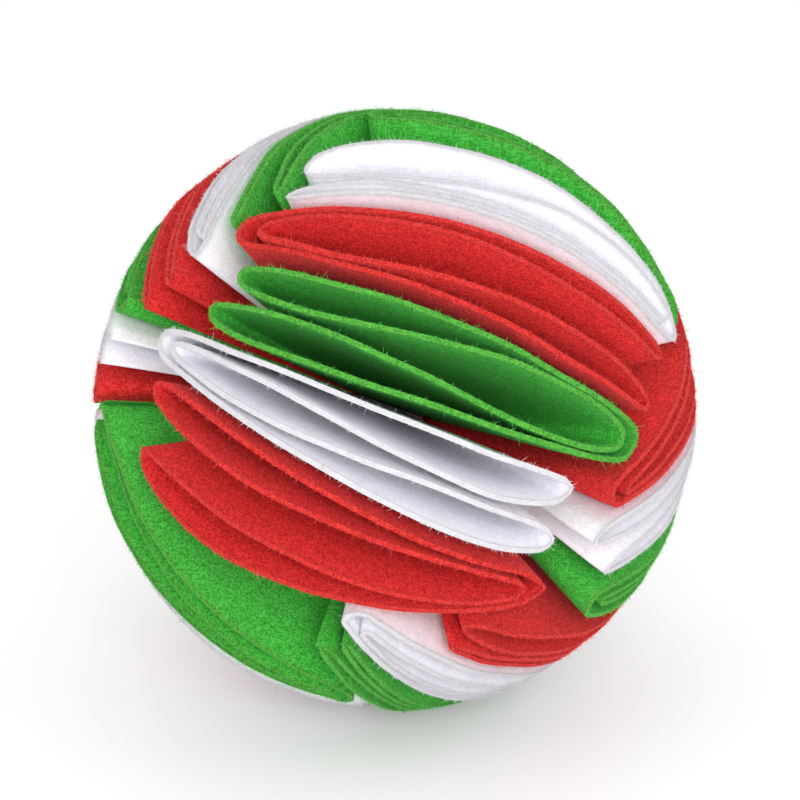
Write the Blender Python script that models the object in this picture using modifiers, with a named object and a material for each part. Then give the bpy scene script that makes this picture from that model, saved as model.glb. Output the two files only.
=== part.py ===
"""Snuffle ball of craft felt: 24 round discs, folded in quarters and tied at the middle.

A disc that is folded in half twice has four layers, so its rim runs over the ball as one
closed line with four folds: two pair ends at one side, and an outer and an inner nested
fold at the other. Six such petals, stacked over each other, make a bunch, and four bunches
make the ball. A thread runs through the points of each bunch's petals to a centre knot.

The ball's centre is the origin, +Z is up and the front bunch faces -Y. Lengths are metres.
"""

import math
from collections import namedtuple

import bmesh
import bpy
from mathutils import Matrix, Vector

MM = 0.001

# Felt discs
BALL_DIAMETER = 150 * MM
FELT_THICKNESS = 1.3 * MM
FOLD_GAP = 0.3 * MM
POINT_DIAMETER = 25 * MM
REST_DEPTH = 0.5 * MM

# Tie threads, each an arc through the petals' points with both ends run in to the knot
THREAD_DIAMETER = 1.5 * MM
THREAD_GAP = 0.3 * MM
THREAD_ARC_DIAMETER = 36 * MM
THREAD_BEND_RADIUS = 2.5 * MM

# Centre knot
KNOT_DIAMETER = 12 * MM
WRAP_DIAMETER = 2 * MM
WRAP_DEPTH = 0.4 * MM
KNOT_GAP = 0.3 * MM

# Room that the floor cutter takes beyond what it cuts, and how near a tube's cap lies to
# the tube that it is welded to
OVERRUN = 5 * MM
WELD_DISTANCE = 0.03 * MM

# Faceting
LAYER_STEPS = 9
FOLD_ANGLES = (0, 45, 90)
THREAD_ARC_STEP = 10
BEND_STEPS = 3
KNOT_SEGMENTS = 16
KNOT_RINGS = 10
WRAP_SEGMENTS = 6

# How a layer swells away from its neighbour: the place of the widest point, as a share of
# the layer's length from the fold, and how fast a fold's own width dies away along it.
SWELL_PEAK_SHARE = 0.2
FOLD_FADE_POWER = 1.5

Felt = namedtuple("Felt", "color roughness")
FELTS = {
    "green": Felt((0.062, 0.434, 0.055), 0.95),
    "white": Felt((0.836, 0.836, 0.871), 0.95),
    "red": Felt((0.708, 0.013, 0.021), 0.95),
}
THREAD_COLOR = (0.72, 0.70, 0.66)
THREAD_ROUGHNESS = 0.6

# A bunch faces along its azimuth and elevation, its petals lie at its lean, and its thread
# runs across them between two angles. Each petal is named by its felt, then come its two
# pair ends and its outer and inner nested folds, as angles along and across the bunch. The
# swells are those of layers 1 to 4, in degrees, near the pair end and near the nested end,
# and the bow curves the whole petal.
Bunch = namedtuple("Bunch", "facing thread petals")
Petal = namedtuple("Petal", "felt pair_low pair_high outer inner swells bow")

BUNCHES = {
    "front": Bunch((6, 18, -21), (-89.5, 35.4), (
        Petal("green", (38, -105), (48, -67), (-24.5, -76), (-19.5, -77),
              ((7.6, 1.2), (6, 0.6), (3, 0.3), (-3, 1.6)), 0),
        Petal("white", (-35.5, -51), (-38, -42.6), (47.5, -49.8), (43.6, -51.5),
              ((7.5, 6.5), (3.8, 3.2), (0.3, 2), (1.2, 2.2)), 0),
        Petal("red", (44.5, -38.5), (43.5, -22.7), (-45.3, -32), (-41, -31.8),
              ((1.4, 2), (1.6, 2.2), (2.6, 4), (3, 3.4)), 0),
        Petal("green", (-42.5, -19.5), (-46.5, -9.5), (42.8, -11.8), (38.8, -11.2),
              ((1.4, 2), (4.6, 3.1), (1.2, 5.4), (5.2, 5.6)), 0),
        Petal("white", (31.5, 3.5), (31.5, 15.3), (-57, 3.4), (-53, 4),
              ((1, 2.2), (4.8, 1.5), (2, 3), (4, 3.2)), 0),
        Petal("red", (-53.5, 16.8), (-51, 37.5), (34, 27.3), (30, 28),
              ((2.2, 1.2), (3.6, 1.6), (1.4, 2.2), (6.6, 2.4)), 0),
    )),
    "right": Bunch((72, -27, 2), (-37, 50.6), (
        Petal("red", (58, -56), (63, -39), (-27.5, -25.8), (-23.6, -26),
              ((1, 1.6), (2, 0.6), (1.2, 0.3), (2.4, 0.9)), 0),
        Petal("white", (-31, -17), (-25, -7.8), (61, -25), (57, -25),
              ((2.6, 1), (0.2, 0.6), (2.8, 0.8), (0.6, 0.6)), 0),
        Petal("green", (59.5, -14), (59.5, -5.5), (-25.5, 0.2), (-21.5, 0.2),
              ((1, 2.2), (0.6, 0.6), (0.6, 0.6), (1.2, 2.4)), 2),
        Petal("red", (-51.5, 10.5), (-50, 19.5), (38.5, 11), (34.5, 11),
              ((2.5, 1), (2.6, 0.4), (1.6, 0.6), (0.2, 1.4)), 2),
        Petal("white", (21, 24.5), (21, 34), (-69, 35), (-64, 35.5),
              ((1, 6), (1.2, 2.2), (2.4, 0.8), (1, 1.6)), 0),
        Petal("green", (-62.5, 47.2), (-61.5, 58), (27, 46), (23, 46),
              ((1, 1.4), (0.4, 0.4), (4.5, 0.6), (-2.5, 1.4)), 0),
    )),
    "left": Bunch((-113, 47, -21), (-30.8, 39.5), (
        Petal("green", (16, -35.6), (24.5, -30.8), (-62, -42), (-58, -40.8),
              ((1.2, 1.7), (0.3, 0.6), (0.6, 0.4), (0.6, 1.7)), 11),
        Petal("white", (-62, -29.5), (-62, -22), (31, -23.2), (27, -23.2),
              ((0.4, 1.6), (0.2, 0.2), (0.3, 0.1), (0.3, 1.6)), 8.5),
        Petal("red", (36.5, -17.3), (40, -10.5), (-52, -8.8), (-48, -8.8),
              ((0.4, 1.7), (0.4, 0.1), (0.6, 0.1), (0.6, 1.9)), 8.5),
        Petal("green", (-54, 2.5), (-54, 10), (35, 4), (31, 4),
              ((0.6, 1.7), (0.2, 0.1), (0.4, 0.1), (0.6, 1.8)), 8),
        Petal("white", (38, 11.5), (40.5, 17.6), (-49, 20.5), (-45, 20.5),
              ((0.6, 1.7), (0.4, 0.1), (0.4, 0.1), (0.6, 1.7)), 7),
        Petal("red", (-46, 31), (-45, 39), (43.5, 26), (39.5, 26),
              ((0.6, 1.6), (0.3, 0.1), (0.5, 0.2), (0.6, 1.6)), 6),
    )),
    "back": Bunch((-135, -49, -107), (-70.9, 88), (
        Petal("green", (-43, -70), (-42, -60.5), (35, -62), (31, -62.5),
              ((7, 5), (-3.4, 0.4), (-0.4, 0.4), (3, 1.8)), 0),
        Petal("white", (38, -46), (38, -34), (-46, -40), (-42, -40),
              ((4, 2.6), (2, 1), (2, 1), (4, 2.6)), 0),
        Petal("red", (-44, -18), (-44, -4), (45.5, -12.5), (41.5, -12.5),
              ((4, 2), (2, 0.6), (2, 0.6), (4, 2)), 0),
        Petal("green", (41, 17), (41, 32), (-46, 21), (-42, 21.5),
              ((4, 2.6), (2, 1), (2, 1), (4, 2.6)), 3),
        Petal("white", (-42, 39), (-41, 53), (42, 48), (38, 48),
              ((4, 2.8), (2, 1), (2, 1), (4, 2.8)), 4),
        Petal("red", (46, 58), (44, 70), (-32.3, 88), (-28.3, 87),
              ((3, 3), (2, 1), (3, 2), (1.5, 6.6)), 4),
    )),
}

BALL_RADIUS = BALL_DIAMETER / 2
POINT_RADIUS = POINT_DIAMETER / 2

# The mid line of a tight fold turns about half a felt and half a gap, and the outer nested
# fold goes round a whole tight fold.
TIGHT_FOLD_RADIUS = (FELT_THICKNESS + FOLD_GAP) / 2
OUTER_FOLD_RADIUS = 3 * TIGHT_FOLD_RADIUS

# The sides on which a layer's two ends bulge, and the radius of its fold at the nested end.
LAYERS = (
    ("pair_low", "outer", -1, -1, OUTER_FOLD_RADIUS),
    ("pair_low", "inner", 1, -1, TIGHT_FOLD_RADIUS),
    ("pair_high", "inner", -1, 1, TIGHT_FOLD_RADIUS),
    ("pair_high", "outer", 1, 1, OUTER_FOLD_RADIUS),
)


def clear_scene():
    for item in list(bpy.data.objects):
        bpy.data.objects.remove(item, do_unlink=True)


def make_collection(name):
    collection = bpy.data.collections.new(name)
    bpy.context.scene.collection.children.link(collection)
    return collection


def make_material(name, color, roughness):
    material = bpy.data.materials.new(name)
    material.use_nodes = True
    shader = material.node_tree.nodes["Principled BSDF"]
    shader.inputs["Base Color"].default_value = (*color, 1)
    shader.inputs["Roughness"].default_value = roughness
    shader.inputs["Metallic"].default_value = 0
    return material


def bunch_axes(facing):
    """The turn whose X runs along the petals, Y faces out and Z runs across the petals."""
    azimuth, elevation, lean = (math.radians(angle) for angle in facing)
    out = Vector((math.sin(azimuth) * math.cos(elevation),
                  -math.cos(azimuth) * math.cos(elevation),
                  math.sin(elevation)))
    level = Vector((math.cos(azimuth), math.sin(azimuth), 0))
    rise = level.cross(-out)
    along = math.cos(lean) * level + math.sin(lean) * rise
    return Matrix((along, out, along.cross(out))).transposed().to_4x4()


def direction(along, across):
    along = math.radians(along)
    across = math.radians(across)
    return Vector((math.sin(along),
                   math.cos(along) * math.cos(across),
                   math.cos(along) * math.sin(across)))


def swell(share):
    """How far a layer stands off, from 0 at a fold to 1 at its widest point and 0 at its end."""
    def curve(place):
        return math.sqrt(place) * (1 - place) ** 2
    return curve(share) / curve(SWELL_PEAK_SHARE)


def fold_width(share, span, radius, along):
    """Half the width of a fold, in degrees across, at a share of the layer's span from it."""
    angle = math.degrees(radius / BALL_RADIUS)
    depth = min(share * span / angle, 1)
    half = angle * math.sqrt(1 - (1 - depth) ** 2) * (1 - share) ** FOLD_FADE_POWER
    return half / math.cos(math.radians(along))


def layer_shares(span, radius_near, radius_far):
    """Places along a layer: close together round both folds and even in between."""
    def fold(radius):
        share = math.degrees(radius / BALL_RADIUS) / span
        return [share * (1 - math.cos(math.radians(angle))) for angle in FOLD_ANGLES]
    near = fold(radius_near)
    far = [1 - share for share in reversed(fold(radius_far))]
    middle = []
    for step in range(1, LAYER_STEPS):
        blend = (1 - math.cos(math.pi * step / LAYER_STEPS)) / 2
        middle.append(near[-1] + (far[0] - near[-1]) * blend)
    return near + middle + far


def layer_line(petal, index):
    """One layer's rim, as directions from its pair end to its nested end."""
    pair, nested, pair_side, nested_side, nested_radius = LAYERS[index]
    start, end = getattr(petal, pair), getattr(petal, nested)
    pair_swell, nested_swell = petal.swells[index]
    span = abs(end[0] - start[0])
    line = []
    for share in layer_shares(span, TIGHT_FOLD_RADIUS, nested_radius):
        along = start[0] + (end[0] - start[0]) * share
        across = start[1] + (end[1] - start[1]) * share
        across += pair_side * (pair_swell * swell(share)
                               + fold_width(share, span, TIGHT_FOLD_RADIUS, along))
        across += nested_side * (nested_swell * swell(1 - share)
                                 + fold_width(1 - share, span, nested_radius, along))
        across += petal.bow * math.sin(math.pi * share)
        line.append(direction(along, across))
    return line


def rim_line(petal):
    """The closed rim: out along layer 1, back along 4, out along 3 and back along 2."""
    line = []
    for index, reverse in ((0, False), (3, True), (2, False), (1, True)):
        layer = layer_line(petal, index)
        if reverse:
            layer.reverse()
        line += layer[:-1]
    return line


def petal_mesh(name, petal):
    """The disc's middle surface: its rim on the ball, drawn in straight to its point."""
    form = bmesh.new()
    rim = [form.verts.new(BALL_RADIUS * point) for point in rim_line(petal)]
    edges = [form.edges.new((rim[i - 1], rim[i])) for i in range(len(rim))]
    drawn = bmesh.ops.extrude_edge_only(form, edges=edges)
    point = [item for item in drawn["geom"] if isinstance(item, bmesh.types.BMVert)]
    share = POINT_RADIUS / BALL_RADIUS
    bmesh.ops.scale(form, vec=(share, share, share), verts=point)
    bmesh.ops.recalc_face_normals(form, faces=form.faces)
    mesh = bpy.data.meshes.new(name)
    form.to_mesh(mesh)
    form.free()
    mesh.shade_smooth()
    return mesh


def add_petal(name, petal, parent, collection, material):
    """A felt disc, squeezed ever thinner towards its point as the bunch is drawn in."""
    piece = bpy.data.objects.new(name, petal_mesh(name, petal))
    collection.objects.link(piece)
    piece.parent = parent
    piece.data.materials.append(material)
    group = piece.vertex_groups.new(name="squeeze")
    for vertex in piece.data.vertices:
        group.add([vertex.index], vertex.co.length / BALL_RADIUS, "REPLACE")
    felt = piece.modifiers.new("felt", "SOLIDIFY")
    felt.thickness = FELT_THICKNESS
    felt.offset = 0
    felt.use_even_offset = True
    felt.vertex_group = group.name
    return piece


def thread_route(angles):
    """A thread's mid line across its bunch: in from the knot, round the arc and back."""
    arc_radius = THREAD_ARC_DIAMETER / 2
    bend_centre = arc_radius - THREAD_BEND_RADIUS
    bend_angle = math.asin(THREAD_BEND_RADIUS / bend_centre)
    end_radius = KNOT_DIAMETER / 2 + WRAP_DEPTH + KNOT_GAP
    first, last = (math.radians(angle) for angle in angles)

    def bend(from_angle, side):
        centre_angle = from_angle + side * bend_angle
        centre = Vector((0, math.cos(centre_angle), math.sin(centre_angle))) * bend_centre
        points = []
        for step in range(BEND_STEPS + 1):
            turn = (math.pi / 2 + bend_angle) * (1 - step / BEND_STEPS)
            angle = centre_angle - side * turn
            points.append(centre + THREAD_BEND_RADIUS
                          * Vector((0, math.cos(angle), math.sin(angle))))
        return points

    start = Vector((0, math.cos(first), math.sin(first))) * end_radius
    end = Vector((0, math.cos(last), math.sin(last))) * end_radius
    arc = []
    low, high = first + bend_angle, last - bend_angle
    count = round((high - low) / math.radians(THREAD_ARC_STEP))
    for step in range(1, count):
        angle = low + (high - low) * step / count
        arc.append(Vector((0, math.cos(angle), math.sin(angle))) * arc_radius)
    return [start] + bend(first, 1) + arc + bend(last, -1)[::-1] + [end]


def add_tube(name, route, diameter, parent, collection):
    curve = bpy.data.curves.new(name, "CURVE")
    curve.dimensions = "3D"
    curve.bevel_depth = diameter / 2
    curve.bevel_resolution = 1
    curve.use_fill_caps = True
    spline = curve.splines.new("POLY")
    spline.points.add(len(route) - 1)
    for point, place in zip(spline.points, route):
        point.co = (*place, 1)
    tube = bpy.data.objects.new(name, curve)
    collection.objects.link(tube)
    tube.parent = parent
    return tube


def add_thread_cutter(name, route, parent, collection):
    """The holes that a thread's needle opens: the thread's own route, a little wider."""
    tube = add_tube(name, route, THREAD_DIAMETER + 2 * THREAD_GAP, parent, collection)
    bpy.context.view_layer.update()
    graph = bpy.context.evaluated_depsgraph_get()
    mesh = bpy.data.meshes.new_from_object(tube.evaluated_get(graph))
    form = bmesh.new()
    form.from_mesh(mesh)
    bmesh.ops.remove_doubles(form, verts=form.verts, dist=WELD_DISTANCE)
    form.to_mesh(mesh)
    form.free()
    cutter = bpy.data.objects.new(name, mesh)
    cutter.matrix_world = tube.matrix_world
    collection.objects.link(cutter)
    hide_cutter(cutter)
    bpy.data.objects.remove(tube, do_unlink=True)
    return cutter


def hide_cutter(cutter):
    cutter.hide_render = True
    cutter.display_type = "WIRE"


def add_floor_cutter(collection):
    """Everything below the flat on which the ball rests."""
    width = BALL_RADIUS + OVERRUN
    form = bmesh.new()
    bmesh.ops.create_cube(form, size=width)
    top = REST_DEPTH - BALL_RADIUS
    bmesh.ops.translate(form, vec=(0, 0, top - width / 2), verts=form.verts)
    mesh = bpy.data.meshes.new("floor_cutter")
    form.to_mesh(mesh)
    form.free()
    cutter = bpy.data.objects.new("floor_cutter", mesh)
    collection.objects.link(cutter)
    hide_cutter(cutter)
    return cutter


def cut(piece, cutter):
    boolean = piece.modifiers.new(cutter.name, "BOOLEAN")
    boolean.operation = "DIFFERENCE"
    boolean.solver = "EXACT"
    boolean.object = cutter


def reaches_floor(piece):
    floor = REST_DEPTH - BALL_RADIUS
    return min((piece.matrix_world @ vertex.co).z for vertex in piece.data.vertices) < floor


def add_knot(collection, cutters, material):
    """The knot that ties the four threads: a round core with a wrap about each axis."""
    core_form = bmesh.new()
    bmesh.ops.create_uvsphere(core_form, u_segments=KNOT_SEGMENTS, v_segments=KNOT_RINGS,
                              radius=KNOT_DIAMETER / 2)
    mesh = bpy.data.meshes.new("centre_knot")
    core_form.to_mesh(mesh)
    core_form.free()
    mesh.shade_smooth()
    knot = bpy.data.objects.new("centre_knot", mesh)
    collection.objects.link(knot)
    knot.data.materials.append(material)
    wrap_radius = WRAP_DIAMETER / 2
    ring_radius = KNOT_DIAMETER / 2 + WRAP_DEPTH - wrap_radius
    for axis, turn in (("x", (0, 90, 0)), ("y", (90, 0, 0)), ("z", (0, 0, 0))):
        bpy.ops.mesh.primitive_torus_add(major_radius=ring_radius, minor_radius=wrap_radius,
                                         major_segments=KNOT_SEGMENTS,
                                         minor_segments=WRAP_SEGMENTS,
                                         rotation=[math.radians(angle) for angle in turn])
        wrap = bpy.context.object
        wrap.name = f"knot_wrap_{axis}"
        wrap.users_collection[0].objects.unlink(wrap)
        cutters.objects.link(wrap)
        hide_cutter(wrap)
        join = knot.modifiers.new(wrap.name, "BOOLEAN")
        join.operation = "UNION"
        join.solver = "EXACT"
        join.object = wrap
    return knot


def add_bunch(name, bunch, collection, cutters, felts, cord, floor):
    frame = bpy.data.objects.new(f"{name}_bunch", None)
    frame.matrix_world = bunch_axes(bunch.facing)
    collection.objects.link(frame)
    bpy.context.view_layer.update()
    route = thread_route(bunch.thread)
    thread = add_tube(f"{name}_thread", route, THREAD_DIAMETER, frame, collection)
    thread.data.materials.append(cord)
    needle = add_thread_cutter(f"{name}_thread_cutter", route, frame, cutters)
    for number, petal in enumerate(bunch.petals, 1):
        petal_name = f"{name}_petal_{number}_{petal.felt}"
        piece = add_petal(petal_name, petal, frame, collection, felts[petal.felt])
        cut(piece, needle)
        bpy.context.view_layer.update()
        if reaches_floor(piece):
            cut(piece, floor)


def build():
    clear_scene()
    ball = make_collection("snuffle_ball")
    cutters = make_collection("cutters")
    felts = {name: make_material(f"felt_{name}", felt.color, felt.roughness)
             for name, felt in FELTS.items()}
    cord = make_material("cord", THREAD_COLOR, THREAD_ROUGHNESS)
    floor = add_floor_cutter(cutters)
    for name, bunch in BUNCHES.items():
        add_bunch(name, bunch, ball, cutters, felts, cord, floor)
    add_knot(ball, cutters, cord)


build()
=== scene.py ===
"""Snuffle ball of craft felt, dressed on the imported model's frame.

Round discs of felt are folded in quarters and tied at the middle. Each has four layers, so
its rim runs over the ball as one closed line with four folds: two pair ends at one side, and
an outer and an inner nested fold at the other. Six petals, stacked over each other, make a
bunch, and four bunches make the ball. Angles are in degrees and lengths in metres.
"""

import math
import random
from collections import namedtuple

import bmesh
import bpy
from mathutils import Matrix, Vector, noise


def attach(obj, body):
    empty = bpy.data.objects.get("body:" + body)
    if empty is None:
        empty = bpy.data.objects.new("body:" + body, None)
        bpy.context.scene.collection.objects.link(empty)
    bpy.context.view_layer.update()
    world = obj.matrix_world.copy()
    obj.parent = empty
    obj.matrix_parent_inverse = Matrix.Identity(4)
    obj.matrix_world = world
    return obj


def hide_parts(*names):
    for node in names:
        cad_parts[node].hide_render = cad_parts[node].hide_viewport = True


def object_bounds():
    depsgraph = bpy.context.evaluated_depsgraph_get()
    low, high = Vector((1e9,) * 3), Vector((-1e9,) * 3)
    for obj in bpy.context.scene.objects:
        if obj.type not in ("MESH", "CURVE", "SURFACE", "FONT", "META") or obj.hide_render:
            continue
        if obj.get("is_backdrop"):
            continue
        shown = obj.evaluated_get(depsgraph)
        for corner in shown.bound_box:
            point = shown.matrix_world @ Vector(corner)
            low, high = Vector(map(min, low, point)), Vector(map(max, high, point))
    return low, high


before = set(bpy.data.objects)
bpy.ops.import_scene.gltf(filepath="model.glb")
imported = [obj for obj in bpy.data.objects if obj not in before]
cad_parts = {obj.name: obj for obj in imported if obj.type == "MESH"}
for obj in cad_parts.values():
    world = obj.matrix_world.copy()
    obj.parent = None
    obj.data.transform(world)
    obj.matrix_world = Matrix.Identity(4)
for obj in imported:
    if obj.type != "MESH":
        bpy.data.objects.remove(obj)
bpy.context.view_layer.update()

bl_info = {
    "name": "Felt Snuffle Ball",
    "version": (1, 0, 0),
    "blender": (4, 5, 0),
    "location": "View3D > Sidebar > Snuffle Ball",
    "description": "A pet's snuffle ball of folded felt discs, tied at the middle",
    "category": "Add Mesh",
}

MM = 0.001

# Where the camera aims, seen from the ball's centre.
AIM_RIGHT = 1.25 * MM
AIM_UP = 2.5 * MM

FLOOR_HALF_WIDTH = 4
OVERHEAD_SIZE = 1.2
OVERHEAD_PLACE = (0.1, -0.15, 1.3)
FRONT_SIZE = 0.8
FRONT_PLACE = (0.12, -1.2, 0.4)

# A bunch faces along its azimuth and elevation, its petals lie at its lean, and its thread
# runs across them between two angles. Each petal is named by its felt, then come its two
# pair ends and its outer and inner nested folds, as angles along and across the bunch. The
# swells are those of layers 1 to 4, near the pair end and near the nested end, and the bow
# curves the whole petal.
Bunch = namedtuple("Bunch", "facing thread petals")
Petal = namedtuple("Petal", "felt pair_low pair_high outer inner swells bow")

BUNCHES = {
    "front": Bunch((6, 18, -21), (-89.5, 35.4), (
        Petal("green", (38, -105), (48, -67), (-24.5, -76), (-19.5, -77),
              ((7.6, 1.2), (6, 0.6), (3, 0.3), (-3, 1.6)), 0),
        Petal("white", (-35.5, -51), (-38, -42.6), (47.5, -49.8), (43.6, -51.5),
              ((7.5, 6.5), (3.8, 3.2), (0.3, 2), (1.2, 2.2)), 0),
        Petal("red", (44.5, -38.5), (43.5, -22.7), (-45.3, -32), (-41, -31.8),
              ((1.4, 2), (1.6, 2.2), (2.6, 4), (3, 3.4)), 0),
        Petal("green", (-42.5, -19.5), (-46.5, -9.5), (42.8, -11.8), (38.8, -11.2),
              ((1.4, 2), (4.6, 3.1), (1.2, 5.4), (5.2, 5.6)), 0),
        Petal("white", (31.5, 3.5), (31.5, 15.3), (-57, 3.4), (-53, 4),
              ((1, 2.2), (4.8, 1.5), (2, 3), (4, 3.2)), 0),
        Petal("red", (-53.5, 16.8), (-51, 37.5), (34, 27.3), (30, 28),
              ((2.2, 1.2), (3.6, 1.6), (1.4, 2.2), (6.6, 2.4)), 0),
    )),
    "right": Bunch((72, -27, 2), (-37, 50.6), (
        Petal("red", (58, -56), (63, -39), (-27.5, -25.8), (-23.6, -26),
              ((1, 1.6), (2, 0.6), (1.2, 0.3), (2.4, 0.9)), 0),
        Petal("white", (-31, -17), (-25, -7.8), (61, -25), (57, -25),
              ((2.6, 1), (0.2, 0.6), (2.8, 0.8), (0.6, 0.6)), 0),
        Petal("green", (59.5, -14), (59.5, -5.5), (-25.5, 0.2), (-21.5, 0.2),
              ((1, 2.2), (0.6, 0.6), (0.6, 0.6), (1.2, 2.4)), 2),
        Petal("red", (-51.5, 10.5), (-50, 19.5), (38.5, 11), (34.5, 11),
              ((2.5, 1), (2.6, 0.4), (1.6, 0.6), (0.2, 1.4)), 2),
        Petal("white", (21, 24.5), (21, 34), (-69, 35), (-64, 35.5),
              ((1, 6), (1.2, 2.2), (2.4, 0.8), (1, 1.6)), 0),
        Petal("green", (-62.5, 47.2), (-61.5, 58), (27, 46), (23, 46),
              ((1, 1.4), (0.4, 0.4), (4.5, 0.6), (-2.5, 1.4)), 0),
    )),
    "left": Bunch((-113, 47, -21), (-30.8, 39.5), (
        Petal("green", (16, -35.6), (24.5, -30.8), (-62, -42), (-58, -40.8),
              ((1.2, 1.7), (0.3, 0.6), (0.6, 0.4), (0.6, 1.7)), 11),
        Petal("white", (-62, -29.5), (-62, -22), (31, -23.2), (27, -23.2),
              ((0.4, 1.6), (0.2, 0.2), (0.3, 0.1), (0.3, 1.6)), 8.5),
        Petal("red", (36.5, -17.3), (40, -10.5), (-52, -8.8), (-48, -8.8),
              ((0.4, 1.7), (0.4, 0.1), (0.6, 0.1), (0.6, 1.9)), 8.5),
        Petal("green", (-54, 2.5), (-54, 10), (35, 4), (31, 4),
              ((0.6, 1.7), (0.2, 0.1), (0.4, 0.1), (0.6, 1.8)), 8),
        Petal("white", (38, 11.5), (40.5, 17.6), (-49, 20.5), (-45, 20.5),
              ((0.6, 1.7), (0.4, 0.1), (0.4, 0.1), (0.6, 1.7)), 7),
        Petal("red", (-46, 31), (-45, 39), (43.5, 26), (39.5, 26),
              ((0.6, 1.6), (0.3, 0.1), (0.5, 0.2), (0.6, 1.6)), 6),
    )),
    "back": Bunch((-135, -49, -107), (-70.9, 88), (
        Petal("green", (-43, -70), (-42, -60.5), (35, -62), (31, -62.5),
              ((7, 5), (-3.4, 0.4), (-0.4, 0.4), (3, 1.8)), 0),
        Petal("white", (38, -46), (38, -34), (-46, -40), (-42, -40),
              ((4, 2.6), (2, 1), (2, 1), (4, 2.6)), 0),
        Petal("red", (-44, -18), (-44, -4), (45.5, -12.5), (41.5, -12.5),
              ((4, 2), (2, 0.6), (2, 0.6), (4, 2)), 0),
        Petal("green", (41, 17), (41, 32), (-46, 21), (-42, 21.5),
              ((4, 2.6), (2, 1), (2, 1), (4, 2.6)), 3),
        Petal("white", (-42, 39), (-41, 53), (42, 48), (38, 48),
              ((4, 2.8), (2, 1), (2, 1), (4, 2.8)), 4),
        Petal("red", (46, 58), (44, 70), (-32.3, 88), (-28.3, 87),
              ((3, 3), (2, 1), (3, 2), (1.5, 6.6)), 4),
    )),
}

# The layers' ends, the sides on which they bulge there, and whether they turn round the
# outer nested fold.
LAYERS = (
    ("pair_low", "outer", -1, -1, True),
    ("pair_low", "inner", 1, -1, False),
    ("pair_high", "inner", -1, 1, False),
    ("pair_high", "outer", 1, 1, True),
)

# How a layer swells away from its neighbour: the place of the widest point, as a share of
# the layer's length from the fold, and how fast a fold's own width dies away along it.
SWELL_PEAK_SHARE = 0.2
FOLD_FADE_POWER = 1.5

# How flat the folds are pressed, from round to a point: a petal's pair ends and then its
# nested folds. A pressed tip is longer than a round one.
USUAL_PRESS = (0.8, 0)
PRESSED_FOLDS = {
    ("front", 2): (1, 0.6),
    ("front", 4): (0.2, 0),
    ("front", 5): (1, 0.3),
    ("front", 6): (0.6, 0.9),
    ("left", 2): (0.8, 0.6),
}
PRESSED_LENGTH = 4.5
PRESSED_THICKNESS = 0.45

# Under 1, so that more fibres stand at the cut's two edges than at its middle.
FIBRE_EDGE_POWER = 0.6

# The rim is stepped finely round the folds, and the felt in rings that close up at the cut.
LAYER_STEPS = 44
FOLD_ANGLES = (0, 15, 30, 45, 60, 75, 90)
RING_DEPTHS = (0, 0.4, 1.1, 2.4, 5, 9, 15, 23, 32, 42, 52)

# How much of the cut's painted shade the felt takes at each ring from the rim.
RIM_SHADE_SHARES = (1, 0.7, 0.2, 0)

# The felt's matted fibres run three ways: cells per metre along each axis.
FIBRE_STRETCHES = ((450, 2300, 2300), (2100, 480, 2200), (2400, 2200, 430))

# The cut is painted darker than the face, as painted shade, so that it doesn't outshine the
# felt's pockets; on the green felt it is also painted yellower, as painted light through the
# thin rim.
RIM_PAINTED_SHADES = {"green": (1.4, 0.76, 0.8), "white": (0.60, 0.60, 0.585),
              "red": (0.76, 0.95, 0.8)}
# The loose fibres are darkened as painted shade, the white ones most, to match the cut's painted
# shade.
FIBRE_PAINTED_SHADES = {"green": 0.95, "white": 0.66, "red": 0.95}

# How strongly each felt shows its matted fibres.
MOTTLE_SHARES = {"green": 1, "white": 0.2, "red": 0.9}
BUMP_STRENGTHS = {"green": 0.75, "white": 0.5, "red": 0.6}

# How deep the unevenness of the rim reaches, and how closely ripples follow each other.
REACH_FADE_DEPTH = 20 * MM
RIPPLES_PER_METRE = 55

# Points along a loose fibre, each with how far along it lies and how thick the fibre is
# there: a short one is straight, and one longer than this curls.
SHORT_FIBRE = ((0, 1), (1, 0.3))
LONG_FIBRE = ((0, 1), (0.5, 0.8), (1, 0.2))
LONG_FIBRE_LENGTH = 1.1 * MM

THREAD_PLIES = 3
THREAD_ARC_STEP = 2
BEND_STEPS = 8
KNOT_TURNS = 26
KNOT_TILT = 66


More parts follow.
